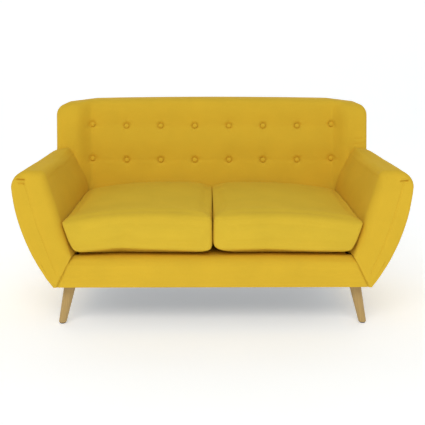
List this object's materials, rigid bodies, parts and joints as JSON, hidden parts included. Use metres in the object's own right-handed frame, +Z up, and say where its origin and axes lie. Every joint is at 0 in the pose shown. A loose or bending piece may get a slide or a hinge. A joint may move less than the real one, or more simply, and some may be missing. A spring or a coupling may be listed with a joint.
{
  "type": "two seat sofa",
  "caption": "Upholstered two-seat sofa with flared arms, a button-tufted back with wings, loose seat cushions and splayed turned wooden legs.",
  "frame": {"origin": "on the floor, under the centre of the sofa's outline", "axes": "+X to the right for someone who looks at the front, +Y towards the back, +Z up"},
  "size_m": [1.4854, 0.78, 0.815],
  "materials": {
    "upholstery_fabric": "woven",
    "seat_fabric": "woven",
    "back_fabric": "woven",
    "button_fabric": "woven",
    "deck_fabric": "plain weave",
    "foam": "open cell foam",
    "felt": "needled felt",
    "dust_cloth": "non-woven",
    "webbing": "woven elastic",
    "twine": "twisted",
    "leg_wood": "clear satin lacquer",
    "frame_wood": "sawn",
    "plywood": "sanded",
    "spring_steel": "oil tempered",
    "zinc": "zinc plated",
    "zip_tape": "woven tape with moulded chain",
    "zip_metal": "painted",
    "toggle_plastic": "moulded",
    "glide_plastic": "moulded"
  },
  "bodies": {
    "frame": {"arm_cover_left": "upholstery_fabric", "arm_cover_right": "upholstery_fabric", "arm_foam_left": "foam", "arm_foam_right": "foam", "arm_front_panel_left": "plywood", "arm_front_panel_right": "plywood", "arm_rear_panel_left": "plywood", "arm_rear_panel_right": "plywood", "arm_top_rail_left": "frame_wood", "arm_top_rail_right": "frame_wood", "back_bottom_rail": "frame_wood", "back_foam": "foam", "back_post_left": "plywood", "back_post_right": "plywood", "back_top_rail": "frame_wood", "back_webbing": "webbing", "base_centre_brace": "frame_wood", "base_front_rail": "frame_wood", "base_rear_rail": "frame_wood", "base_side_rail_left": "frame_wood", "base_side_rail_right": "frame_wood", "button_toggles": "toggle_plastic", "button_twine": "twine", "buttons_lower_row": "button_fabric", "buttons_upper_row": "button_fabric", "corner_blocks": "frame_wood", "deck_cover": "deck_fabric", "deck_foam": "foam", "dust_cover": "dust_cloth", "floor_glides": "glide_plastic", "frame_bolts": "zinc", "front_rail_cover": "upholstery_fabric", "front_rail_foam": "foam", "inside_back_cover": "back_fabric", "leg_front_left": "leg_wood", "leg_front_right": "leg_wood", "leg_hanger_bolts": "zinc", "leg_rear_left": "leg_wood", "leg_rear_right": "leg_wood", "leg_tee_nuts": "zinc", "outside_back_cover": "back_fabric", "seat_spring_1": "spring_steel", "seat_spring_2": "spring_steel", "seat_spring_3": "spring_steel", "seat_spring_4": "spring_steel", "seat_spring_5": "spring_steel", "seat_spring_6": "spring_steel", "seat_spring_7": "spring_steel", "seat_spring_8": "spring_steel", "spring_clips": "zinc", "spring_insulator_felt": "felt"},
    "seat_cushion_left": {"cushion_cover_left": "seat_fabric", "cushion_foam_left": "foam", "cushion_zip_left": "zip_tape"},
    "seat_cushion_right": {"cushion_cover_right": "seat_fabric", "cushion_foam_right": "foam", "cushion_zip_right": "zip_tape"},
    "zip_pull_left": {"zip_slider_left": "zip_metal"},
    "zip_pull_right": {"zip_slider_right": "zip_metal"}
  },
  "joints": [
    {"name": "cushion_lift_left", "type": "slide", "parent": "frame", "child": "seat_cushion_left", "axis": [0, 0, 1], "range_m": [0, 0.35]},
    {"name": "cushion_lift_right", "type": "slide", "parent": "frame", "child": "seat_cushion_right", "axis": [0, 0, 1], "range_m": [0, 0.35]},
    {"name": "zip_left", "type": "slide", "parent": "seat_cushion_left", "child": "zip_pull_left", "axis": [-1, 0, 0], "range_m": [0, 0.38]},
    {"name": "zip_right", "type": "slide", "parent": "seat_cushion_right", "child": "zip_pull_right", "axis": [1, 0, 0], "range_m": [0, 0.38]}
  ]
}
